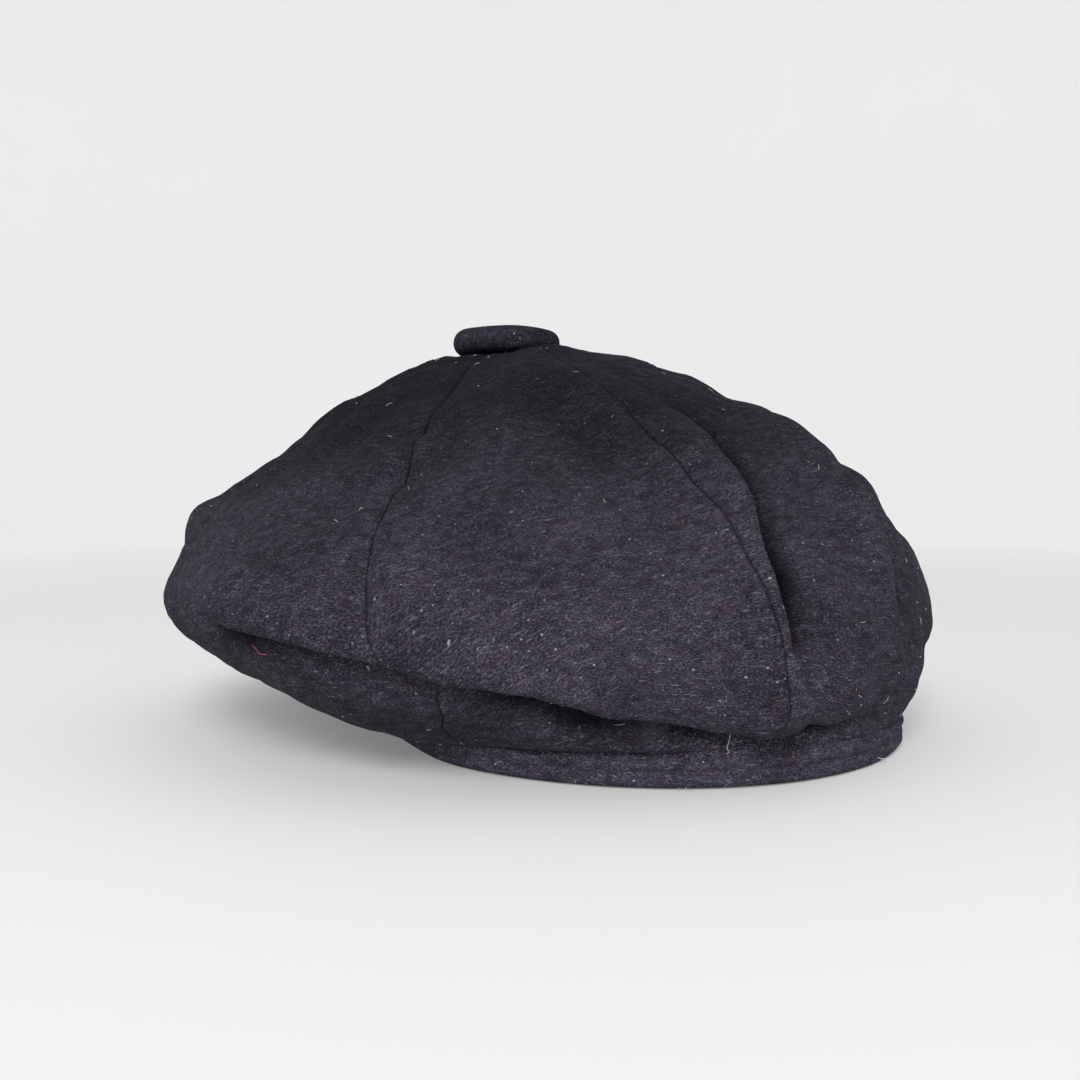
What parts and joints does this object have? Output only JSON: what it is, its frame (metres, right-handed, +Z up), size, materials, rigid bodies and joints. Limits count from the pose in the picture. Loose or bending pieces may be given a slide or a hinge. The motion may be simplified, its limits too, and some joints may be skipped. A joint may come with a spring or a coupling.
{
  "type": "newsboy cap",
  "caption": "Full-crowned cloth cap of wedge panels gathered on a stitched hem, with a covered button on top, a full lining, a sweatband and a short stiffened visor.",
  "frame": {"origin": "centre of the head opening, in the plane that the hem stands on", "axes": "+Z up out of the head through the crown, -Y to the front over the visor, +X to the wearer's left"},
  "size_m": [0.2691, 0.2735, 0.1398],
  "materials": {
    "wool_cloth": "heathered dark navy-grey wool flannel, matt",
    "lining_satin": "dark satin weave, soft sheen",
    "woven_label": "plain woven label, blank",
    "sweatband": "dark grosgrain ribbon",
    "stiff_tape": "undyed stiffening tape",
    "button_metal": "plain stamped steel",
    "visor_board": "plain moulded sheet"
  },
  "bodies": {
    "cap": {"crown_front_left": "wool_cloth", "crown_side_front_left": "wool_cloth", "crown_side_back_left": "wool_cloth", "crown_back_left": "wool_cloth", "crown_back_right": "wool_cloth", "crown_side_back_right": "wool_cloth", "crown_side_front_right": "wool_cloth", "crown_front_right": "wool_cloth", "lining_front_left": "lining_satin", "lining_side_front_left": "lining_satin", "lining_side_back_left": "lining_satin", "lining_back_left": "lining_satin", "lining_back_right": "lining_satin", "lining_side_back_right": "lining_satin", "lining_side_front_right": "lining_satin", "lining_front_right": "lining_satin", "lining_label": "woven_label", "sweatband": "sweatband", "hem_tape": "stiff_tape", "button_cover": "wool_cloth", "button_shell": "button_metal", "button_collet": "button_metal", "button_shank": "button_metal", "button_washer": "button_metal"},
    "visor": {"visor_board": "visor_board", "visor_top_cover": "wool_cloth", "visor_under_cover": "wool_cloth"}
  },
  "joints": [
    {"name": "visor_flex", "type": "hinge", "parent": "cap", "child": "visor", "pos_m": [0, -0.084, 0.014], "axis": [1, 0, 0], "range_deg": [-7, 10], "stiffness_Nm_per_rad": 0.8}
  ]
}
